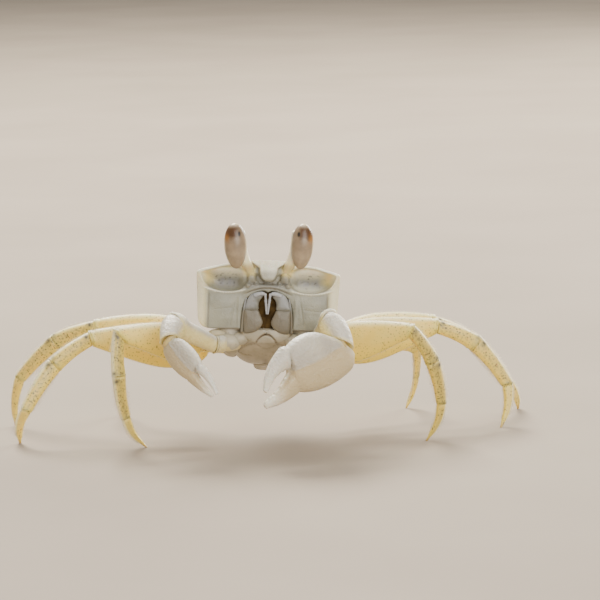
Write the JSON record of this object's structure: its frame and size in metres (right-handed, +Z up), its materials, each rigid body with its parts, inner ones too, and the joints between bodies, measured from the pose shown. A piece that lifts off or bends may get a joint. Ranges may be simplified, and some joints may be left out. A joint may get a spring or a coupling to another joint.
{
  "type": "ghost crab",
  "caption": "Life-size ghost crab standing alert on its walking legs, body tilted up, tall eyes raised, one claw larger than the other, both held low in front.",
  "frame": {"origin": "on the floor, at the centre of the whole crab's bounding box seen from above", "axes": "+Z up from the floor the feet stand on; the crab faces -Y; its own left side is +X, so the legs spread along X"},
  "size_m": [0.0906, 0.0482, 0.0382],
  "materials": {
    "carapace": "satin, faintly translucent shell",
    "under_shell": "satin shell with darker seams",
    "leg_shell": "satin, translucent, finely speckled shell",
    "claw_shell": "satin shell",
    "eyestalk": "satin shell",
    "eye": "glossy cornea",
    "mouth_plate": "satin shell"
  },
  "bodies": {
    "root": {"carapace": "carapace", "sternum": "under_shell", "abdomen": "under_shell", "maxilliped_l": "mouth_plate", "maxilliped_r": "mouth_plate", "eye_l": "eye", "eye_r": "eye", "eyestalk_l": "eyestalk", "eyestalk_r": "eyestalk", "claw_l_base": "claw_shell", "claw_l_arm": "claw_shell", "claw_l_wrist": "claw_shell", "claw_l_palm": "claw_shell", "claw_l_finger": "claw_shell", "claw_r_base": "claw_shell", "claw_r_arm": "claw_shell", "claw_r_wrist": "claw_shell", "claw_r_palm": "claw_shell", "claw_r_finger": "claw_shell", "leg1_l_base": "leg_shell", "leg1_l_merus": "leg_shell", "leg1_l_carpus": "leg_shell", "leg1_l_propodus": "leg_shell", "leg1_l_dactyl": "leg_shell", "leg1_r_base": "leg_shell", "leg1_r_merus": "leg_shell", "leg1_r_carpus": "leg_shell", "leg1_r_propodus": "leg_shell", "leg1_r_dactyl": "leg_shell", "leg2_l_base": "leg_shell", "leg2_l_merus": "leg_shell", "leg2_l_carpus": "leg_shell", "leg2_l_propodus": "leg_shell", "leg2_l_dactyl": "leg_shell", "leg2_r_base": "leg_shell", "leg2_r_merus": "leg_shell", "leg2_r_carpus": "leg_shell", "leg2_r_propodus": "leg_shell", "leg2_r_dactyl": "leg_shell", "leg3_l_base": "leg_shell", "leg3_l_merus": "leg_shell", "leg3_l_carpus": "leg_shell", "leg3_l_propodus": "leg_shell", "leg3_l_dactyl": "leg_shell", "leg3_r_base": "leg_shell", "leg3_r_merus": "leg_shell", "leg3_r_carpus": "leg_shell", "leg3_r_propodus": "leg_shell", "leg3_r_dactyl": "leg_shell", "leg4_l_base": "leg_shell", "leg4_l_merus": "leg_shell", "leg4_l_carpus": "leg_shell", "leg4_l_propodus": "leg_shell", "leg4_l_dactyl": "leg_shell", "leg4_r_base": "leg_shell", "leg4_r_merus": "leg_shell", "leg4_r_carpus": "leg_shell", "leg4_r_propodus": "leg_shell", "leg4_r_dactyl": "leg_shell"}
  },
  "joints": []
}
